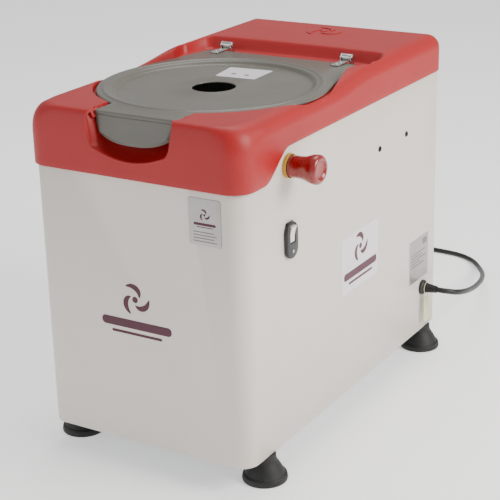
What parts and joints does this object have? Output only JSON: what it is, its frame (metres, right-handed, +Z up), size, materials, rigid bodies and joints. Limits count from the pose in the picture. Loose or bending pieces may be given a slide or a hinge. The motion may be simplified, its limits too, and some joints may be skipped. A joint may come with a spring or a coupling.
{
  "type": "rapid dough mixer",
  "caption": "Bench-top high-speed dough mixer: sheet-metal cabinet, moulded hood, hinged round lid with filling hole, bowl with belt-driven beater, stop button, rocker switch and mains cord.",
  "frame": {"origin": "on the floor under the middle of the machine's footprint, feet and stop button included, cord left out", "axes": "+Z up, -Y towards the front with the lid's tab, +X towards the side with the stop button and the switch"},
  "size_m": [0.4212, 1.0035, 0.527],
  "materials": {
    "white_coat": "fine textured off-white powder coat",
    "red_moulding": "satin moulded plastic",
    "lid_paint": "satin grey paint",
    "structural_steel": "zinc plated",
    "bright_steel": "ground and plated",
    "stainless": "brushed stainless",
    "cast_iron": "machined casting",
    "motor_casting": "painted die casting",
    "stator_core": "laminations and windings",
    "black_rubber": "matt",
    "black_plastic": "fine grained",
    "grey_plastic": "satin",
    "red_button": "semi gloss",
    "yellow_plastic": "semi gloss",
    "ivory_plastic": "semi gloss",
    "cord_sheath": "satin PVC"
  },
  "bodies": {
    "machine": {"cabinet_shell": "white_coat", "rear_panel": "white_coat", "base_plate": "structural_steel", "side_frame_left": "structural_steel", "side_frame_right": "structural_steel", "bowl_carrier_plate": "structural_steel", "drive_plate": "structural_steel", "top_hood": "red_moulding", "hinge_bracket_left": "bright_steel", "hinge_bracket_right": "bright_steel", "hinge_pin_left": "bright_steel", "hinge_pin_right": "bright_steel", "bowl": "stainless", "bowl_gasket": "black_rubber", "bearing_housing": "cast_iron", "spindle_bearing_upper": "bright_steel", "spindle_bearing_lower": "bright_steel", "shaft_seal": "black_rubber", "drive_belt": "black_rubber", "motor_plate": "structural_steel", "motor_drive_shield": "motor_casting", "motor_frame": "motor_casting", "motor_stator": "stator_core", "motor_end_shield": "motor_casting", "motor_fan_cowl": "black_plastic", "motor_terminal_box": "black_plastic", "starter_box": "grey_plastic", "estop_ring": "yellow_plastic", "estop_barrel": "grey_plastic", "estop_contact_block": "black_plastic", "switch_plate": "black_plastic", "switch_body": "black_plastic", "foot_front_left": "black_rubber", "foot_front_right": "black_rubber", "foot_rear_left": "black_rubber", "foot_rear_right": "black_rubber", "side_screw_left_front": "structural_steel", "side_screw_left_rear": "structural_steel", "side_screw_right_front": "structural_steel", "side_screw_right_rear": "structural_steel", "front_badge": "bright_steel", "cord_gland": "black_plastic", "gland_nut": "black_plastic", "strain_relief": "black_rubber", "power_cord": "cord_sheath", "power_cord_coil": "cord_sheath", "power_plug": "cord_sheath"},
    "lid": {"lid": "lid_paint", "hinge_leaf_left": "bright_steel", "hinge_leaf_right": "bright_steel"},
    "beater_drive": {"spindle": "bright_steel", "driven_pulley": "cast_iron", "beater": "stainless", "beater_cap": "stainless"},
    "motor_drive": {"motor_rotor": "bright_steel", "driving_pulley": "cast_iron", "motor_fan": "black_plastic"},
    "stop_plunger": {"estop_plunger": "black_plastic"},
    "stop_head": {"estop_head": "red_button"},
    "start_rocker": {"switch_rocker": "ivory_plastic"}
  },
  "joints": [
    {"name": "lid_hinge", "type": "hinge", "parent": "machine", "child": "lid", "pos_m": [-0.01475, 0.112, 0.52], "axis": [-1, 0, 0], "range_deg": [0, 100]},
    {"name": "motor_spin", "type": "hinge", "parent": "machine", "child": "motor_drive", "pos_m": [-0.01475, 0.17, 0.2], "axis": [0, 0, 1], "continuous": true},
    {"name": "beater_spin", "type": "hinge", "parent": "machine", "child": "beater_drive", "pos_m": [-0.01475, -0.093, 0.3], "axis": [0, 0, 1], "continuous": true},
    {"name": "stop_push", "type": "slide", "parent": "machine", "child": "stop_plunger", "axis": [-1, 0, 0], "range_m": [0, 0.005], "stiffness_N_per_m": 400},
    {"name": "stop_twist", "type": "hinge", "parent": "stop_plunger", "child": "stop_head", "pos_m": [0.20525, -0.182, 0.441], "axis": [1, 0, 0], "range_deg": [0, 35], "stiffness_Nm_per_rad": 0.05},
    {"name": "rocker_tilt", "type": "hinge", "parent": "machine", "child": "start_rocker", "pos_m": [0.15625, -0.182, 0.347], "axis": [0, -1, 0], "range_deg": [0, 20]}
  ],
  "couplings": [
    {"joint": "beater_spin", "follows": "motor_spin", "ratio": 0.45714}
  ]
}
